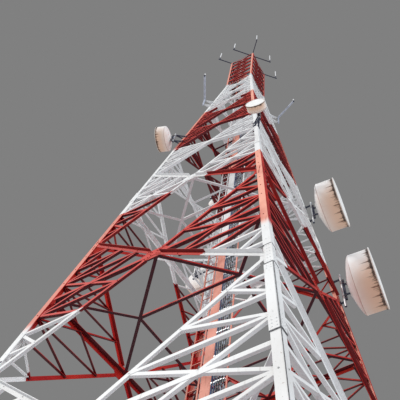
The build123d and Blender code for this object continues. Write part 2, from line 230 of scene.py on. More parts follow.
def tower_paint(name, sunlit_red, red_shade_below, white_shade_below, fade=0.002):
    """The banded paint, with its painted sunlit red, its painted shade below, and how softly a red band
    begins.

    Behind the front face, the two lowest lines were painted further down.
    """
    made, shader, place = surface(name)
    direction = facing(place)
    painted_sunlit_side = painted_sunlight_mask(direction, 0.40, 0.85)
    painted_shade = painted_shade_mask(direction, 0.45, 0.9)
    blotch = place.noise(0.9, 3)
    grain = place.noise(38, 5, 0.65)
    runs = (place * (26, 26, 1.3)).noise(1, 4, 0.6)
    height = place.along(2) + (grain - 0.5) * brush_waver
    behind = place.along(1).between(front_end, rear_start) * (place.along(2) < low_line_top)
    step = (height + behind * low_line_drop) / (2 * band_height) % 1.0
    red_band = step.between(0, fade).larger(height < solid_foot) * (step < 0.5)
    red = blotch.between(0.35, 0.7).mix(deep_red, bright_red)
    # Painted sunlit highlight: the red turns paler in blotches on faces towards the sun.
    painted_highlight = painted_sunlit_side * blotch.between(0.15, 0.5) * (place.along(0).between(-2.6, 1.6) * 0.5 + 0.5)
    red = painted_highlight.mix(red, sunlit_red)
    # Painted shade: a darker red on faces turned down.
    red = painted_shade.mix(red, red_shade_below)
    red = (runs.between(0.58, 0.75) * 0.5).mix(red, red_run)
    white = blotch.between(0.4, 0.75).mix(clean_white, dull_white)
    # Painted shade: a greyer white on faces turned down.
    white = painted_shade.mix(white, white_shade_below)
    white = (runs.between(0.57, 0.78) * 0.45).mix(white, white_run)
    coat = red_band.mix(white, red)
    worn = grain.between(0.64, 0.70) * blotch.between(0.45, 0.7)
    feed(shader, "Base Color", (worn * 0.8).mix(coat, flaked))
    feed(shader, "Roughness", 0.42 + grain * 0.25)
    shader.inputs["Specular IOR Level"].default_value = 0.3
    bump(shader, grain, 0.0015)
    return made


def dress(material, *names):
    """Give a material to solids that are shown as they are."""
    for name in names:
        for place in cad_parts[name].material_slots:
            place.material = material


face_names = ("front", "right", "back", "left")
bar_paint = tower_paint("banded_bar_paint", sunlit_bar_red, bar_shade_red, shade_white)
leg_paint = tower_paint("banded_leg_paint", sunlit_leg_red, leg_shade_red, shade_white, fade=0.035)
for face_name in face_names:
    dress(bar_paint, *(f"{face_name}_bracing_{bay}" for bay in (1, 2, 3, 4, "upper")))
dress(leg_paint, "bottom_legs", "middle_legs", "upper_legs", "head_legs")
dress(bar_paint, "head_joint_plates", "head_bracing")


# The finer bracing of the four tall bays: light steel angles between the legs and the main diagonals,
# each with one flange on the face and a lip turned into the tower, bolted on with one bolt an end.
# Some of their flanges are in the solids already, and these get only their lips here.
taper_height, head_half, lean = 24.0, 0.625, 0.1
tall_bay, tall_bays = 3.55, 4
tall_depth = 0.018
light_flange, light_lip, light_wall = 0.048, 0.046, 0.005
leg_inset, diagonal_inset = 0.045, 0.060
sharp_angle = math.radians(35)


class Metalwork:
    """Bars, plates, bolts and turned pieces gathered into one mesh."""

    def __init__(self):
        self.mesh = bmesh.new()

    def prism(self, outline, origin, across, up, run):
        """The outline, drawn with across and up from the origin, stretched along run."""
        foot = [self.mesh.verts.new(origin + across * x + up * y) for x, y in outline]
        head = [self.mesh.verts.new(vertex.co + run) for vertex in foot]
        self.mesh.faces.new(foot)
        self.mesh.faces.new(head)
        for count, vertex in enumerate(foot):
            self.mesh.faces.new((foot[count - 1], vertex, head[count], head[count - 1]))

    def bolt(self, place, axis, size):
        """A hexagon head of that width on a round washer."""
        across = axis.orthogonal().normalized()
        up = axis.cross(across)
        for sides, radius, low, high in ((8, 0.8, 0, 0.12), (6, 0.58, 0.12, 0.62)):
            turns = [2 * math.pi * count / sides for count in range(sides)]
            ring = [(size * radius * math.cos(turn), size * radius * math.sin(turn)) for turn in turns]
            self.prism(ring, place + axis * size * low, across, up, axis * size * (high - low))

    def turned(self, profile, place, axis, sides):
        """A round piece: its profile gives distances along the axis and radii."""
        across = axis.orthogonal().normalized()
        up = axis.cross(across)
        turns = [2 * math.pi * count / sides for count in range(sides)]
        spokes = [across * math.cos(turn) + up * math.sin(turn) for turn in turns]
        rings = []
        for along, radius in profile:
            middle = place + axis * along
            if radius == 0:
                rings.append([self.mesh.verts.new(middle)] * sides)
            else:
                rings.append([self.mesh.verts.new(middle + spoke * radius) for spoke in spokes])
        for near, far in zip(rings, rings[1:]):
            for count in range(sides):
                corners = dict.fromkeys((near[count - 1], near[count], far[count], far[count - 1]))
                if len(corners) > 2:
                    self.mesh.faces.new(list(corners))
        for ring in (rings[0], rings[-1]):
            if ring[0] is not ring[1]:
                self.mesh.faces.new(ring)

    def piece(self, name, material, slot, smooth=False):
        """Close the mesh, give it its finish and fix it to the tower."""
        bmesh.ops.recalc_face_normals(self.mesh, faces=self.mesh.faces)
        data = bpy.data.meshes.new(name)
        self.mesh.to_mesh(data)
        self.mesh.free()
        data.materials.append(material)
        made = bpy.data.objects.new(name, data)
        scene.collection.objects.link(made)
        if smooth:
            data.shade_smooth()
            edges = made.modifiers.new("edges", "EDGE_SPLIT")
            edges.split_angle = sharp_angle
        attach(made, "root")
        return made


def half_width(height):
    """From the tower's axis to the outside of a face."""
    return head_half + lean * max(taper_height - height, 0)


def turned_to(quarter, direction):
    """The direction turned from the front face to another: quarter 1 is the right one, and so on."""
    return Matrix.Rotation(math.pi / 2 * quarter, 3, "Z") @ Vector(direction)


def outward(quarter, height):
    """Square to a face."""
    return turned_to(quarter, Vector((0, -1, lean if height < taper_height else 0)).normalized())


def on_face(quarter, across, height, depth):
    """A point of a face, the given depth behind the outside of the legs."""
    return turned_to(quarter, (across, -half_width(height), height)) - outward(quarter, height) * depth


def face_bar(metal, quarter, start, end, outline, width, depth):
    """A bar of a face from start to end, with its outline drawn up the face and into the tower."""
    foot, head = on_face(quarter, *start, depth), on_face(quarter, *end, depth)
    inward = -outward(quarter, start[1])
    upward = (head - foot).cross(inward).normalized()
    if upward.z < 0:
        upward = -upward
    metal.prism(outline, foot - upward * width / 2, upward, inward, head - foot)


def angle_outline(width, lip, wall):
    return ((0, 0), (width, 0), (width, wall), (wall, wall), (wall, lip), (0, lip))


def lip_outline(lip, wall):
    return ((0, 0), (wall, 0), (wall, lip), (0, lip))


def quadrants(levels):
    """For each quarter of a bay: its end on the leg, the height of the node, and the side of the face."""
    for bottom, top in zip(levels, levels[1:]):
        for end in (bottom, top):
            for side in (-1, 1):
                yield end, (bottom + top) / 2, side


def on_leg(end, node, side, share, inset=leg_inset):
    """A point on a leg, the given share of the way from the bay's end to the height of its node."""
    height = end + (node - end) * share
    return side * (half_width(height) - inset), height


def on_diagonal(end, node, side, share):
    """A point on a main diagonal, the given share of the way from the leg to the node."""
    return side * (half_width(end) - diagonal_inset) * (1 - share), end + (node - end) * share


def light_bars(metal, quarter, spot, shares, outline, width, depth):
    """A bar from the leg to the diagonal for each pair of shares."""
    for leg_share, share in shares:
        face_bar(metal, quarter, on_leg(*spot, leg_share), on_diagonal(*spot, share), outline, width, depth)


tall_levels = [tall_bay * count for count in range(tall_bays + 1)]
for quarter, face_name in enumerate(face_names):
    bars = Metalwork()
    for spot in quadrants(tall_levels):
        light_bars(bars, quarter, spot, ((0.5, 0.5), (0.75, 0.75), (0.75, 0.5)),
                   lip_outline(light_lip, light_wall), light_flange, tall_depth)
        light_bars(bars, quarter, spot, ((0.25, 0.25), (0.5, 0.25), (1.25, 0.75)),
                   angle_outline(light_flange, light_lip, light_wall), light_flange, tall_depth)
    bars.piece(f"{face_name}_light_bracing", bar_paint, "red_paint")


# The finer bracing of the six short bays above: lighter steel angles still, bolted on in the same
# way, and so close that the faces look almost shut from below. The main diagonals, whose flat
# flanges are in the solids, get their lips here.
short_bays, short_shrink = 6, 0.93
short_depth = 0.016
short_flange, short_lip = 0.050, 0.070
lightest_flange, lightest_lip, lightest_wall = 0.040, 0.055, 0.004
tall_top = tall_bay * tall_bays
first_short = (taper_height - tall_top) * (1 - short_shrink) / (1 - short_shrink**short_bays)
short_levels = [tall_top]
for count in range(short_bays):
    short_levels.append(short_levels[-1] + first_short * short_shrink**count)
bars = Metalwork()
for quarter in range(4):
    for spot in quadrants(short_levels):
        face_bar(bars, quarter, on_diagonal(*spot, 0.03), on_diagonal(*spot, 0.93),
                 lip_outline(short_lip, light_wall), short_flange, short_depth)
        light_bars(bars, quarter, spot, ((0.25, 0.25), (0.5, 0.25), (0.5, 0.5), (1.0, 0.5), (0.75, 0.75)),
                   angle_outline(lightest_flange, lightest_lip, lightest_wall), lightest_flange, short_depth)
bars.piece("upper_light_bracing", bar_paint, "white_paint")


# The head's bracing is of small steel angles, painted with the rest. Their flat flanges are in the
# solids, and here each diagonal gets a lip behind it, and each level bar two, one above the other.
head_bays, head_height = 6, 4.0
head_depth = 0.012
head_flange, head_wall = 0.034, 0.004
diagonal_lip, level_lip = 0.032, 0.050
head_levels = [taper_height + head_height / head_bays * count for count in range(head_bays + 1)]
reach = head_half - 0.04
bars = Metalwork()
for quarter in range(4):
    for spot in quadrants(head_levels):
        face_bar(bars, quarter, on_diagonal(*spot, 0.05), on_diagonal(*spot, 0.95),
                 lip_outline(diagonal_lip, head_wall), head_flange, head_depth)
    for level in head_levels[1:-1]:
        for rise in (-head_flange / 2, head_flange):
            face_bar(bars, quarter, (-reach, level + rise), (reach, level + rise),
                     lip_outline(level_lip, head_wall), head_flange, head_depth)
bars.piece("head_light_bracing", bar_paint, "red_paint")


# Where bars meet there are flat steel joint plates, cut with sloping ends and held by the bars' bolts:
# one behind each node in the middle of a face, and one on a leg wherever two bays of a kind meet.
node_plate = ((-0.27, -0.035), (-0.27, 0.035), (-0.16, 0.15), (0.16, 0.15),
              (0.27, 0.035), (0.27, -0.035), (0.16, -0.15), (-0.16, -0.15))
leg_plate = ((0.02, -0.16), (0.02, 0.16), (-0.05, 0.145), (-0.13, 0.04), (-0.13, -0.04), (-0.05, -0.145))
plates = Metalwork()


def joint_plate(quarter, middle, outline, scale, depth, wall):
    """A flat plate behind a face; its outline is counted from its middle."""
    inward = -outward(quarter, middle[1])
    across = turned_to(quarter, (1, 0, 0))
    shape = [(x * scale, y * scale) for x, y in outline]
    plates.prism(shape, on_face(quarter, *middle, depth), across, across.cross(inward), inward * wall)


for quarter in range(4):
    for levels, scale, depth, wall in ((tall_levels, 1.0, tall_depth, 0.008),
                                       (short_levels, 0.6, short_depth, 0.006),
                                       (head_levels, 0.3, head_depth, 0.004)):
        for bottom, top in zip(levels, levels[1:]):
            joint_plate(quarter, (0, (bottom + top) / 2), node_plate, scale, depth, wall)
        for level in levels[1:-1]:
            for side in (-1, 1):
                mirrored = [(x * side, y) for x, y in leg_plate]
                middle = side * (half_width(level) - diagonal_inset), level
                joint_plate(quarter, middle, mirrored, scale, depth, wall)
plates.piece("joint_plates", bar_paint, "red_paint")


# The bolts are of galvanised steel, each with a washer, and were painted over with the bars.
# Three hold each main diagonal at an end, and one each end of a light bar. In the short bays only
# the light bars' ends that lie half way to the node have theirs.
tall_bolt, short_bolt = 0.016, 0.012
small_bolt_share = 0.85
leg_bolt_inset, light_bolt_inset = 0.065, 0.070
bar_outside = 0.010
end_gaps, leg_shift = (0.07, 0.13, 0.19), 0.02
lowest_bolt = 0.1


def face_bolt(metal, quarter, place, depth, size):
    """A bolt through a face, with its head outside."""
    metal.bolt(on_face(quarter, *place, depth), outward(quarter, place[1]), size)


bolts = Metalwork()
for quarter in range(4):
    for levels, size, shares in ((tall_levels, tall_bolt, (0.25, 0.5, 0.75, 1.25)),
                                 (short_levels, short_bolt, (0.5,))):
        for spot in quadrants(levels):
            end, node, side = spot
            length = math.hypot(half_width(end) - diagonal_inset, node - end)
            for gap in end_gaps:
                height = end + math.copysign(gap - leg_shift, node - end)
                in_leg = side * (half_width(end) - leg_bolt_inset), height
                for place, depth in ((on_diagonal(*spot, 1 - gap / length), bar_outside), (in_leg, 0)):
                    if place[1] > lowest_bolt:
                        face_bolt(bolts, quarter, place, depth, size)
            for share in shares:
                place = on_leg(*spot, share, light_bolt_inset)
                face_bolt(bolts, quarter, place, 0, size * small_bolt_share)
                if share < 1:
                    place = on_diagonal(*spot, share)
                    face_bolt(bolts, quarter, place, bar_outside, size * small_bolt_share)
bolts.piece("bracing_bolts", bar_paint, "red_paint")


# The legs' lengths are joined by cover angles of steel, bolted through both flanges in two rows.
# The covers and their bolts were painted with the legs.
splice_levels = (7.1, 12.9)
splice_wall = 0.010
splice_rows, splice_pitch = 6, 0.086
splice_insets, splice_bolt = (0.030, 0.072), 0.011
dress(leg_paint, "leg_splices")
bolts = Metalwork()
for level in splice_levels:
    for quarter in range(4):
        for row in range(splice_rows):
            height = level + splice_pitch * (row - (splice_rows - 1) / 2)
            for side in (-1, 1):
                for inset in splice_insets:
                    place = side * (half_width(height) - inset), height
                    face_bolt(bolts, quarter, place, -splice_wall, splice_bolt)
bolts.piece("splice_bolts", leg_paint, "white_paint")


# Below the lower splice each leg is stiffened by a steel cover plate on both flanges, bolted at its
# ends and painted with it. A thin near-black strip, painted shade, runs up the leg's corner to the
# plates' heads, and others lie along the plates' ends and the splice's top as painted shade there.
cover_foot, cover_head, cover_width, cover_wall = 5.45, 6.84, 0.135, 0.007
corner_gap, sunk = 0.012, 0.002
strip_foot, strip_radius, strip_proud, strip_height = 0.3, 0.006, 0.014, 0.008
strip_levels = (cover_foot - 0.004, cover_head + 0.002, splice_levels[0] + 0.252)
cover_rows = [cover_foot + rise for rise in (0.06, 0.12, 0.18)] + [cover_head - drop for drop in (0.12, 0.06)]
cover_insets, cover_bolt = (0.035, 0.095), 0.013
corners = [(x, y) for x in (-1, 1) for y in (-1, 1)]
up, right, forward = Vector((0, 0, 1)), Vector((1, 0, 0)), Vector((0, -1, 0))


def painted_shade_strip():
    made, shader, place = surface("corner_shade_strip_paint")
    stain = place.noise(30, 4)
    # Painted shade: the strips are near-black where the corner and the plates' ends lie in shade.
    feed(shader, "Base Color", stain.between(0.35, 0.65).mix((0.09, 0.09, 0.10, 1), (0.24, 0.24, 0.25, 1)))
    feed(shader, "Roughness", 0.6 + stain * 0.3)
    shader.inputs["Metallic"].default_value = 0.3
    bump(shader, stain, 0.001)
    return made


def leg_corner(x, y, height):
    """The outer corner of a leg."""
    return Vector((x * half_width(height), y * half_width(height), height))


def flat_outline(proud, start, width):
    """The plan of a flat strip on a flange, from its start near the corner to its width."""
    return (-sunk, start), (proud, start), (proud, -width), (-sunk, -width)


covers, strips = Metalwork(), Metalwork()
for x, y in corners:
    foot, head = leg_corner(x, y, cover_foot), leg_corner(x, y, cover_head)
    for outside, aside in ((right * x, -forward * y), (-forward * y, right * x)):
        covers.prism(flat_outline(cover_wall, -corner_gap, cover_width), foot, outside, aside, head - foot)
        for level in strip_levels:
            strips.prism(flat_outline(strip_proud, 0.004, cover_width), leg_corner(x, y, level),
                         outside, aside, up * strip_height)
    start = leg_corner(x, y, strip_foot)
    run = head - start
    strips.turned([(0, strip_radius), (run.length, strip_radius)], start, run.normalized(), 8)
for quarter in range(4):
    for height in cover_rows:
        for side in (-1, 1):
            for inset in cover_insets:
                place = side * (half_width(height) - inset), height
                face_bolt(covers, quarter, place, -cover_wall, cover_bolt)
covers.piece("leg_cover_plates", leg_paint, "white_paint")
strips.piece("leg_corner_shade_strips", painted_shade_strip(), "galvanised_steel", smooth=True)


# Each foot is a thick galvanised plate with ribs, held down by four anchor bolts that have begun to
# rust. Two nuts with washers sit on each bolt, and the bolt's end stands proud of them.
plate_middle, plate_top, anchor_pitch = 2.9625, 0.020, 0.340
anchor_radius, anchor_length, washer_radius, washer_wall = 0.0115, 0.078, 0.024, 0.004
nut_width, nut_height = 0.036, 0.020


def galvanised():
    """Dull zinc: faint crystals, a painted sunlit highlight, painted shade below, rusty in patches."""
    made, shader, place = surface("weathered_zinc_painted_light")
    direction = facing(place)
    painted_sunlit_side = painted_sunlight_mask(direction, 0.0, 0.8)
    painted_shade = painted_shade_mask(direction, 0.3, 0.9)
    crystal = place.node("ShaderNodeTexVoronoi", {}, {"Vector": place, "Scale": 70}, 1).along(0)
    patch = place.noise(4, 4)
    bare = crystal.mix((0.30, 0.33, 0.37, 1), (0.42, 0.45, 0.49, 1))
    # Painted light: paler zinc on faces towards the sun, and blue-black painted shade on faces turned down.
    bare = painted_sunlit_side.mix(bare, (0.78, 0.80, 0.82, 1))
    bare = painted_shade.mix(bare, (0.050, 0.060, 0.095, 1))
    rust = patch.between(0.60, 0.74)
    feed(shader, "Base Color", (rust * 0.8).mix(bare, (0.22, 0.10, 0.055, 1)))
    feed(shader, "Metallic", 0.5 - rust * 0.4)
    feed(shader, "Roughness", 0.40 + crystal * 0.12 + rust * 0.3)
    bump(shader, crystal, 0.0004)
    return made


def bolt_finish():
    """Zinc that has worn off in patches, and rust in its place."""
    made, shader, place = surface("weathered_bolts")
    patch = place.noise(3.5, 4)
    speck = place.noise(90, 3)
    bare = speck.mix((0.30, 0.31, 0.33, 1), (0.50, 0.50, 0.51, 1))
    rust = patch.between(0.42, 0.62) * speck.between(0.30, 0.60)
    feed(shader, "Base Color", rust.mix(bare, (0.20, 0.10, 0.06, 1)))
    feed(shader, "Metallic", 0.55 - rust * 0.5)
    feed(shader, "Roughness", 0.42 + rust * 0.4)
    bump(shader, speck, 0.0006)
    return made


zinc = galvanised()
bolt_metal = bolt_finish()
dress(zinc, "base_plates")
anchors = Metalwork()
for x, y in corners:
    for step_x, step_y in corners:
        place = Vector((x * plate_middle + step_x * anchor_pitch / 2,
                        y * plate_middle + step_y * anchor_pitch / 2, plate_top))
        anchors.turned([(0, washer_radius), (washer_wall, washer_radius), (washer_wall, anchor_radius),
                        (anchor_length - 0.004, anchor_radius), (anchor_length, anchor_radius - 0.0025)],
                       place, up, 16)
        for rise in (0, nut_height):
            anchors.bolt(place + up * (rise + 0.002), up, nut_width)
anchors.piece("anchor_bolts", bolt_metal, "galvanised_steel", smooth=True)


# Frames of steel angle lie inside the tower on the main horizontals and stop its faces from leaning.
# Their flat flanges are in the solids, and their upright flanges are added here.
frame_rise, frame_wall = 0.034, 0.005
frame_half_flange, frame_top = 0.0275, 0.011
frame_end_gap, tip_inset, brace_inset = 0.03, 0.082, 0.085
# Painted shade: the frames' undersides are darker still than the bars'.
frame_shade_red = (0.050, 0.005, 0.012, 1)
frame_shade_white = (0.70, 0.71, 0.74, 1)
frame_paint = tower_paint("banded_frame_paint", sunlit_bar_red, frame_shade_red, frame_shade_white)
dress(frame_paint, "level_frames", "upper_level_beams")
uprights = Metalwork()


def upright_flange(start, end, height):
    """The standing flange of a frame's bar, along one of its edges."""
    foot, head = Vector((*start, height)), Vector((*end, height))
    along = (head - foot).normalized()
    aside = along.cross(up)
    uprights.prism(lip_outline(frame_rise, frame_wall),
                   foot + aside * frame_half_flange + along * frame_end_gap, -aside, up,
                   head - foot - along * 2 * frame_end_gap)


for count in range(tall_bays):
    level = tall_bay * (count + 0.5)
    top = level + frame_top
    reach, corner = half_width(level) - tip_inset, half_width(level) - brace_inset
    half = reach / 2
    tips = ((0, -reach), (reach, 0), (0, reach), (-reach, 0))
    for start, end in zip(tips, tips[1:] + tips[:1]):
        upright_flange(start, end, top)
    for x in (-1, 1):
        upright_flange((x * half, -x * half), (x * half, x * half), top)
        upright_flange((x * half, x * half), (-x * half, x * half), top)
        for y in (-1, 1):
            upright_flange((x * half, y * half), (x * corner, y * corner), top)
uprights.piece("frame_upright_flanges", frame_paint, "red_paint")


# The ladder is two flat steel stiles with rungs, painted with the tower, and rests against the middle
# beams of the frames. The rack beside it has a flat tray, and galvanised cross bars with a bent strap
# over each cable.
climb_foot, rack_x, rack_front, rack_height = 0.35, 0.110, -0.006, 27.05
hanger_pitch, hanger_reach, hanger_bar = 0.6, 0.15, 0.008
strap_lip, strap_width, strap_wall = 0.004, 0.024, 0.003
cables = ((-0.115, 0.015), (-0.069, 0.011), (-0.023, 0.015), (0.023, 0.013), (0.069, 0.015), (0.115, 0.009))
dress(leg_paint, "ladder", "cable_rack")
hangers = Metalwork()
for count in range(int(rack_height / hanger_pitch)):
    middle = Vector((rack_x, rack_front, climb_foot + hanger_pitch * (count + 0.25)))
    hangers.prism(((-hanger_reach, 0), (hanger_reach, 0),
                   (hanger_reach, hanger_bar), (-hanger_reach, hanger_bar)),
                  middle, right, up, -forward * hanger_bar)
    for x, radius in cables:
        width, depth = radius + strap_lip, 2 * radius + 0.002
        hangers.prism(((-width, 0), (-radius, 0), (-radius, depth - strap_wall), (radius, depth - strap_wall),
                       (radius, 0), (width, 0), (width, depth), (-width, depth)),
                      middle + right * x - up * strap_width / 2, right, forward, up * strap_width)
hangers.piece("cable_hangers", zinc, "galvanised_steel")


# Six feeder cables of mixed sizes climb the rack side by side, each held by a hanger every 60 cm.
# The two on the left have blue jackets and the others black ones, rubbed pale in spots. The paler
# patches on them, lighter blue and blue-grey, are partly dust and partly painted sky reflection.
blue_edge = rack_x - 0.046


def cable_jacket():
    made, shader, place = surface("cable_jacket")
    dust_and_sheen = (place * (22, 22, 11)).noise(1, 4, 0.65)
    scuff = place.noise(60, 3)
    # The lighter blue and the pale blue-grey mottle are partly dust and partly painted sky reflection.
    blue = dust_and_sheen.between(0.45, 0.70).mix((0.012, 0.036, 0.110, 1), (0.060, 0.140, 0.300, 1))
    black = dust_and_sheen.between(0.50, 0.58).mix((0.007, 0.009, 0.018, 1), (0.36, 0.40, 0.48, 1))
    jacket = (place.along(0) < blue_edge).mix(black, blue)
    feed(shader, "Base Color", (scuff.between(0.6, 0.7) * 0.5).mix(jacket, (0.42, 0.47, 0.54, 1)))
    feed(shader, "Roughness", 0.28 + dust_and_sheen * 0.3)
    bump(shader, scuff, 0.0005)
    return made


feeders = Metalwork()
for x, radius in cables:
    foot = Vector((rack_x + x, rack_front - radius, climb_foot))
    feeders.turned([(0, radius * 0.8), (0.01, radius), (rack_height - 0.01, radius),
                    (rack_height, radius * 0.8)], foot, up, 16)
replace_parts(feeders.piece("feeder_cable_run", cable_jacket(), "cable_jacket", smooth=True), "feeder_cables")


# The drum dishes are spun aluminium under white paint that has gone chalky: a round back, a deep
# shroud, and a rim band that clamps a cloth cover. Rust from the band's clips has run back over
# the shroud, dirt lies behind the band, and the lower half turns tan, most towards the rim.
large, wide, medium, small = (0.740, 0.74), (0.500, 0.43), (0.400, 0.40), (0.255, 0.27)   # radius, depth
near_flange, at_corner, far_flange = (0.150, -0.055), (0.160, 0.160), (0.550, -0.055)   # out in X and Y
long_stub, short_stub = 0.17, 0.11
# Each dish: its size, its height, its pipe's place outside the leg, the leg, its direction and its stub.
dishes = {
    "lower_right_dish": (large, 10.95, near_flange, (1, 1), 5, long_stub),
    "upper_right_dish": (large, 14.35, near_flange, (1, 1), 5, long_stub),
    "left_dish": (medium, 17.05, at_corner, (-1, -1), 200, short_stub),
    "front_dish": (small, 14.46, at_corner, (1, -1), -80, short_stub),
    "lower_back_dish": (wide, 14.05, far_flange, (-1, 1), 90, long_stub),
    "upper_back_dish": (small, 17.80, far_flange, (-1, 1), 90, long_stub),
}
hub_bolts, rim_clips = 12, 20
hub_share, seam_share, rim_share, clip_share, cover_share = 0.35, 0.25, 0.96, 0.045, 0.978


def dish_shell(name, radius, seam, rim):
    """Paint for a dish, whose seam and rim lie at those distances from its pipe."""
    made, shader, place = surface(name)
    out = place.along(0)
    height = place.along(2) / radius
    cloud = place.noise(2.2, 4)
    fine = place.noise(45, 4)
    streak = (place * (1.3, 17, 17)).noise(1.1, 4, 0.65)
    apron = 0.26 * radius
    near_rim = (out - (rim - apron)) / apron
    shroud = out > seam
    before_rim = out < rim
    shell = cloud.between(0.3, 0.7).mix((0.94, 0.93, 0.92, 1), (0.88, 0.86, 0.84, 1))
    lower = (0.30 - height + (cloud - 0.5) * 0.8).between(0.0, 1.1)
    toward_rim = ((out - seam) / (rim - seam)).between(-0.4, 0.7)
    shell = (lower * (toward_rim * 0.85 + 0.15)).mix(shell, (0.86, 0.59, 0.43, 1))
    shell = (out > rim).mix(shell, (0.97, 0.97, 0.97, 1))
    stain = (streak * 0.5 + near_rim * 0.45).between(0.35, 0.85) * shroud
    stain = stain * (0.8 - height).between(0.0, 0.8)
    shell = (stain * 0.55).mix(shell, (0.50, 0.31, 0.17, 1))
    run = (streak + near_rim * 0.15).between(0.62, 0.69) * shroud * before_rim
    run = run * (0.75 - height).between(0.0, 0.6)
    shell = (run * 0.80).mix(shell, (0.16, 0.075, 0.040, 1))
    dirt = (out - (rim - 0.025 - (cloud + streak - 0.5) * 0.11 * radius)).between(0, 0.02) * before_rim
    dirt = dirt * (fine + cloud - 0.25).between(0.45, 0.85) * (0.9 - height).between(0, 0.4)
    shell = (dirt * 0.9).mix(shell, (0.055, 0.035, 0.028, 1))
    rusty_seam = (1 - abs(out - seam - 0.012).between(0.003, 0.010)) * (fine - 0.4 - height).between(0, 0.3)
    shell = (rusty_seam * 0.6).mix(shell, (0.36, 0.13, 0.08, 1))
    feed(shader, "Base Color", shell)
    feed(shader, "Roughness", 0.52 + fine * 0.2)
    bump(shader, fine, 0.0008)
    return made


def dish_cover():
    """The cloth stretched over the mouth of a dish: pale, woven, a little soiled."""
    made, shader, place = surface("dish_cover_cloth")
    weave = place.node("ShaderNodeTexWave", {"bands_direction": "Y"}, {"Vector": place, "Scale": 90}, 1)
    cross = place.node("ShaderNodeTexWave", {"bands_direction": "Z"}, {"Vector": place, "Scale": 90}, 1)
    soil = (place * (1, 4, 1.2)).noise(1.4, 5)
    feed(shader, "Base Color", soil.between(0.35, 0.75).mix((0.95, 0.95, 0.94, 1), (0.86, 0.85, 0.82, 1)))
    feed(shader, "Roughness", 0.62 + soil * 0.2)
    bump(shader, weave + cross, 0.0006, 0.4)
    return made


def pipe_place(height, reach, sides):
    """The middle of an upright pipe outside a leg."""
    edge = half_width(height)
    return Vector((sides[0] * (edge + reach[0]), sides[1] * (edge + reach[1]), height))


def spoke(count, number):
    """A direction out from a dish's axis, one of a number spaced evenly."""
    return Matrix.Rotation(2 * math.pi * (count + 0.5) / number, 3, "X") @ up


cover_cloth = dish_cover()
axle = Vector((0, 0, 0))
for name, ((radius, depth), height, reach, sides, turn, start) in dishes.items():
    seat = Matrix.Translation(pipe_place(height, reach, sides)) @ Matrix.Rotation(math.radians(turn), 4, "Z")
    hub, mouth = hub_share * radius, start + depth
    seam, rim = start + seam_share * depth, start + rim_share * depth
    shell = Metalwork()
    shell.turned([(start, hub * 0.55), (start, hub * 0.94), (start + 0.010, hub * 0.98),
                  (start + 0.010, hub), (start + 0.10 * depth, radius * 0.66),
                  (start + 0.18 * depth, radius * 0.88), (seam - 0.012 * depth, radius * 0.975),
                  (seam, radius * 0.990), (seam + 0.010, radius), (seam + 0.022, radius),
                  (seam + 0.026, radius * 1.010), (seam + 0.034, radius * 1.010), (seam + 0.038, radius),
                  (rim - 0.010, radius), (rim, radius * 1.024), (rim + 0.006, radius * 1.030),
                  (mouth - 0.012, radius * 1.030), (mouth - 0.004, radius * 1.022),
                  (mouth - 0.003, radius * 0.990), (mouth - 0.020, radius * 0.980),
                  (mouth - 0.020, radius * 0.90)], axle, right, 96)
    shell.turned([(start - 0.004, hub * 0.35), (start - 0.004, hub * 0.5), (start + 0.003, hub * 0.54)],
                 axle, right, 48)
    for count in range(hub_bolts):
        shell.bolt(right * start + spoke(count, hub_bolts) * hub * 0.8, -right, 0.014 + 0.012 * radius)
    clip = right * clip_share * radius
    for count in range(rim_clips):
        out = spoke(count, rim_clips)
        shell.prism(((-0.018, 0), (0.018, 0), (0.012, 0.020 * radius), (-0.012, 0.020 * radius)),
                    right * rim - clip + out * radius * 0.999, right.cross(out), out, clip)
    shell_paint = dish_shell(name + "_paint", radius, seam, rim)
    body = shell.piece(name + "_shell", shell_paint, "dish_shell", smooth=True)
    body.matrix_world = seat
    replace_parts(body, name)
    cover = Metalwork()
    cover.turned([(mouth - 0.018, radius * cover_share), (mouth - 0.012, radius * 0.970),
                  (mouth - 0.008, radius * 0.80), (mouth - 0.005, radius * 0.55),
                  (mouth - 0.003, radius * 0.25), (mouth - 0.002, 0)], axle, right, 96)
    cloth = cover.piece(name + "_cover", cover_cloth, "dish_shell", smooth=True)
    cloth.matrix_world = seat
    cut = 2 * radius * cover_share
    math.pi * cut**2 / 4


# Each dish hangs on an upright galvanised pipe, whose zinc has a painted sunlit highlight on the side
# towards the sun. Bars carry the pipe from the leg, and a channel with two stubs, gripped to the pipe
# by U-bolts, holds the dish's hub; these are coloured blue-black all over as painted shade.
pipe_radius, pipe_share, arm_share = 0.030, 0.78, 0.36
arm_height, corner_arm, flange_arm, arm_inset = 0.022, 0.036, 0.048, 0.075
clamp_wall, clamp_size = 0.012, 0.090
channel_share, channel_back = 0.62, 0.075
channel = ((0.016, -0.025), (channel_back, -0.025), (channel_back, 0.025), (0.016, 0.025), (0.016, 0.019),
           (0.068, 0.019), (0.068, -0.019), (0.016, -0.019))
stub_foot, stub_width, hub_gap = 0.070, 0.044, 0.001
pad_wall, pad_width, pad_height = 0.007, 0.050, 0.060
grip_shares = (-0.27, -0.20, 0.20, 0.27)
grip_radius, grip_bend, grip_nuts, grip_steps = 0.005, 0.034, 0.060, 10


def dark_metal():
    made, shader, place = surface("bracket_zinc_painted_shade")
    scuff = place.noise(50, 4)
    cloud = place.noise(3, 4)
    paler_upward = facing(place).along(2).between(0.2, 0.9) * cloud.between(0.3, 0.7)
    # Painted shade: the zinc is coloured blue-black all over; faces turned up are paler in patches.
    coat = paler_upward.mix((0.030, 0.036, 0.070, 1), (0.20, 0.22, 0.27, 1))
    feed(shader, "Base Color", (scuff.between(0.64, 0.72) * 0.6).mix(coat, (0.30, 0.30, 0.33, 1)))
    feed(shader, "Roughness", 0.36 + scuff * 0.25)
    bump(shader, scuff, 0.0006)
    return made


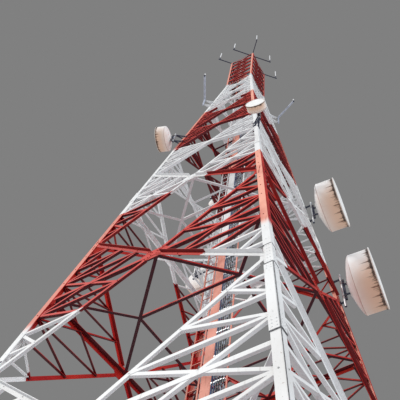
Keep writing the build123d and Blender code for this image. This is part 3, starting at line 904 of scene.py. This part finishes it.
def straight(metal, start, end, width, height):
    """A bar of rectangular section from start to end."""
    run = end - start
    across = run.cross(up).normalized()
    rise = across.cross(run).normalized()
    outline = [(x * width / 2, y * height / 2) for x, y in ((-1, -1), (1, -1), (1, 1), (-1, 1))]
    metal.prism(outline, start, across, rise, run)


def leg_arms(metal, pipe, sides, level, cornered):
    """The bars of one level, from the leg to the pipe: one along X, or two that meet from both flanges."""
    edge = half_width(level)
    end = Vector((pipe.x, pipe.y, level))
    outside_x, outside_y = right * sides[0], -forward * sides[1]
    if cornered:
        width = corner_arm
        feet = ((edge, edge - arm_inset, outside_x), (edge - arm_inset, edge, outside_y))
    else:
        width = flange_arm
        feet = ((edge, abs(pipe.y), outside_x),)
    for x, y, outside in feet:
        foot = Vector((sides[0] * x, sides[1] * y, level))
        straight(metal, foot, end, width, arm_height)
        straight(metal, foot, foot + outside * clamp_wall, clamp_size, clamp_size)


dark = dark_metal()
pipes, brackets, grips = Metalwork(), Metalwork(), Metalwork()
for (radius, depth), height, reach, sides, turn, start in dishes.values():
    pipe = pipe_place(height, reach, sides)
    ahead = Matrix.Rotation(math.radians(turn), 3, "Z") @ right
    aside = ahead.cross(up)
    length = 2 * radius * pipe_share
    pipes.turned([(0, 0.022), (0, pipe_radius), (length - 0.004, pipe_radius), (length, pipe_radius - 0.004),
                  (length, 0.024), (length - 0.03, 0.024)], pipe - up * length / 2, up, 24)
    for share in (-arm_share, arm_share):
        leg_arms(brackets, pipe, sides, height + length * share, reach[1] > 0)
    run = up * length * channel_share
    brackets.prism(channel, pipe - run / 2, ahead, aside, run)
    for side in (-1, 1):
        place = pipe + up * side * radius / 4
        hub = place + ahead * (start - hub_gap)
        straight(brackets, place + ahead * stub_foot, hub, stub_width, arm_height)
        straight(brackets, hub - ahead * pad_wall, hub, pad_width, pad_height)
    for share in grip_shares:
        place = pipe + up * (length * share)
        bends = [math.pi * (0.5 + step / grip_steps) for step in range(grip_steps + 1)]
        path = [aside * grip_bend + ahead * channel_back]
        path += [(ahead * math.cos(bend) + aside * math.sin(bend)) * grip_bend for bend in bends]
        path += [-aside * grip_bend + ahead * channel_back]
        for first, second in zip(path, path[1:]):
            run = second - first
            grips.turned([(0, grip_radius), (run.length, grip_radius)], place + first, run.normalized(), 8)
        for side in (-1, 1):
            grips.bolt(place + aside * side * grip_bend + ahead * grip_nuts, ahead, 0.014)
pipes.piece("dish_pipes", zinc, "galvanised_steel", smooth=True)
mounts = brackets.piece("dish_brackets", dark, "galvanised_steel")
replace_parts(mounts, "large_dish_mounts", "small_dish_mounts")
grips.piece("dish_u_bolts", bolt_metal, "galvanised_steel", smooth=True)


# On the head, level steel arms, coloured dark blue-black as painted shade, carry rod aerials: white
# glass-fibre rods with rounded tops, in metal sleeves coloured with the same painted shade, which
# stand on the arms' ends.
arm_top, arm_tip, arm_size = 28.04, 1.095, 0.040
crossbar_middle, crossbar_length = 0.5, 1.980
sleeve_length, rod_length = 0.350, 0.950


def glass_fibre():
    """White glass-fibre tube: a fine lengthwise grain, greyer in soiled patches."""
    made, shader, place = surface("white_glass_fibre")
    grain = (place * (220, 220, 6)).noise(1, 3)
    soil = place.noise(5, 4)
    skin = soil.between(0.4, 0.75).mix((0.88, 0.89, 0.90, 1), (0.70, 0.71, 0.73, 1))
    feed(shader, "Base Color", (grain.between(0.6, 0.8) * 0.3).mix(skin, (0.60, 0.61, 0.63, 1)))
    feed(shader, "Roughness", 0.30 + soil * 0.2)
    bump(shader, grain, 0.0003)
    return made


fibre = glass_fibre()
dress(dark, "head_arms")
step = crossbar_length / 2 / math.sqrt(2)
left_end = Vector((crossbar_middle - step, -crossbar_middle - step, arm_top))
right_end = Vector((crossbar_middle + step, -crossbar_middle + step, arm_top))
spots = [Vector((x * (arm_tip - arm_size), y * (arm_tip - arm_size), arm_top)) for x, y in corners]
end_share = arm_size / crossbar_length
spots += [left_end.lerp(right_end, end_share), right_end.lerp(left_end, end_share)]
rod_top = sleeve_length + rod_length
rods, sleeves = Metalwork(), Metalwork()
for spot in spots:
    sleeves.turned([(0, 0.024), (0, 0.026), (0.012, 0.027), (0.05, 0.027), (0.055, 0.023), (0.24, 0.023),
                    (0.245, 0.0265), (0.33, 0.0265), (sleeve_length, 0.020)], spot, up, 24)
    rods.turned([(sleeve_length - 0.01, 0.024), (rod_top - 0.026, 0.024), (rod_top - 0.014, 0.021),
                 (rod_top - 0.004, 0.012), (rod_top, 0)], spot, up, 24)
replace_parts(rods.piece("rod_aerial_tubes", fibre, "aerial_rod", smooth=True), "rod_aerials")
sleeves.piece("rod_aerial_sleeves", dark, "galvanised_steel", smooth=True)


# Two booms stand out under the head, each at the top of a short pole that steel brackets hold to a
# leg. The tube is painted pale blue-grey, and a white capped rod stands at its end in a sleeve
# coloured dark as painted shade.
poles = ((21.1, -59, (-1, -1)), (21.7, -22, (1, 1)))   # height, the boom's direction, leg
pole_length, pole_reach = 0.650, 0.200
boom_length, boom_radius = 0.970, 0.038
bracket_foot, bracket_inside, bracket_outside, bracket_wall = 0.060, 0.020, 0.015, 0.006


def pale_tube():
    made, shader, place = surface("pale_boom_paint")
    grime = place.noise(7, 4)
    fleck = place.noise(80, 3)
    skin = grime.between(0.35, 0.7).mix((0.52, 0.56, 0.66, 1), (0.38, 0.41, 0.50, 1))
    feed(shader, "Base Color", (fleck.between(0.66, 0.74) * 0.5).mix(skin, (0.20, 0.15, 0.13, 1)))
    feed(shader, "Roughness", 0.38 + grime * 0.2)
    bump(shader, fleck, 0.0004)
    return made


booms, boom_brackets, boom_sleeves, boom_rods = Metalwork(), Metalwork(), Metalwork(), Metalwork()
for height, turn, sides in poles:
    pole = pipe_place(height, (pole_reach, pole_reach), sides)
    ahead = Matrix.Rotation(math.radians(turn), 3, "Z") @ right
    head = pole + up * pole_length / 2
    tip = head + ahead * boom_length
    booms.turned([(0, 0.026), (0, pipe_radius), (pole_length, pipe_radius), (pole_length, 0.026)],
                 pole - up * pole_length / 2, up, 24)
    booms.turned([(-0.036, 0.030), (-0.034, boom_radius), (boom_length - 0.03, boom_radius),
                  (boom_length, boom_radius - 0.008)], head, ahead, 24)
    boom_sleeves.turned([(-0.075, 0.020), (-0.073, 0.027), (0.045, 0.027), (0.048, 0.023)], tip, up, 24)
    boom_rods.turned([(0.046, 0.022), (0.050, 0.026), (0.200, 0.026), (0.216, 0.020), (0.225, 0)],
                     tip, up, 24)
    far = half_width(height) + pole_reach
    for share in (-arm_share, arm_share):
        level = height + pole_length * share
        leg_arms(boom_brackets, pole, sides, level, True)
        edge = half_width(level)
        plan = ((edge, edge - bracket_foot), (edge, edge), (edge - bracket_foot, edge),
                (far - bracket_inside, far + bracket_outside), (far + bracket_outside, far - bracket_inside))
        boom_brackets.prism([(sides[0] * x, sides[1] * y) for x, y in plan],
                            up * (level - bracket_wall / 2), right, -forward, up * bracket_wall)
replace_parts(booms.piece("boom_tubes", pale_tube(), "galvanised_steel", smooth=True), "side_aerials")
boom_brackets.piece("boom_brackets", bar_paint, "white_paint")
boom_sleeves.piece("boom_end_sleeves", dark, "galvanised_steel", smooth=True)
boom_rods.piece("boom_end_rods", fibre, "aerial_rod", smooth=True)


# A plain pale floor, level with the undersides of the feet. It is not part of the tower, and
# reaches far enough to take the whole shadow that the main lamp gives.
floor_reach = 60
floor_mesh = bpy.data.meshes.new("floor")
floor_corners = [(x * floor_reach, y * floor_reach, 0) for x, y in corners]
floor_mesh.from_pydata(floor_corners, [], [(0, 2, 3, 1)])
floor = bpy.data.objects.new("floor", floor_mesh)
scene.collection.objects.link(floor)
floor_paint, floor_shader, _ = surface("floor")
floor_shader.inputs["Base Color"].default_value = (0.58, 0.58, 0.58, 1)
floor_shader.inputs["Roughness"].default_value = 0.9
floor_mesh.materials.append(floor_paint)
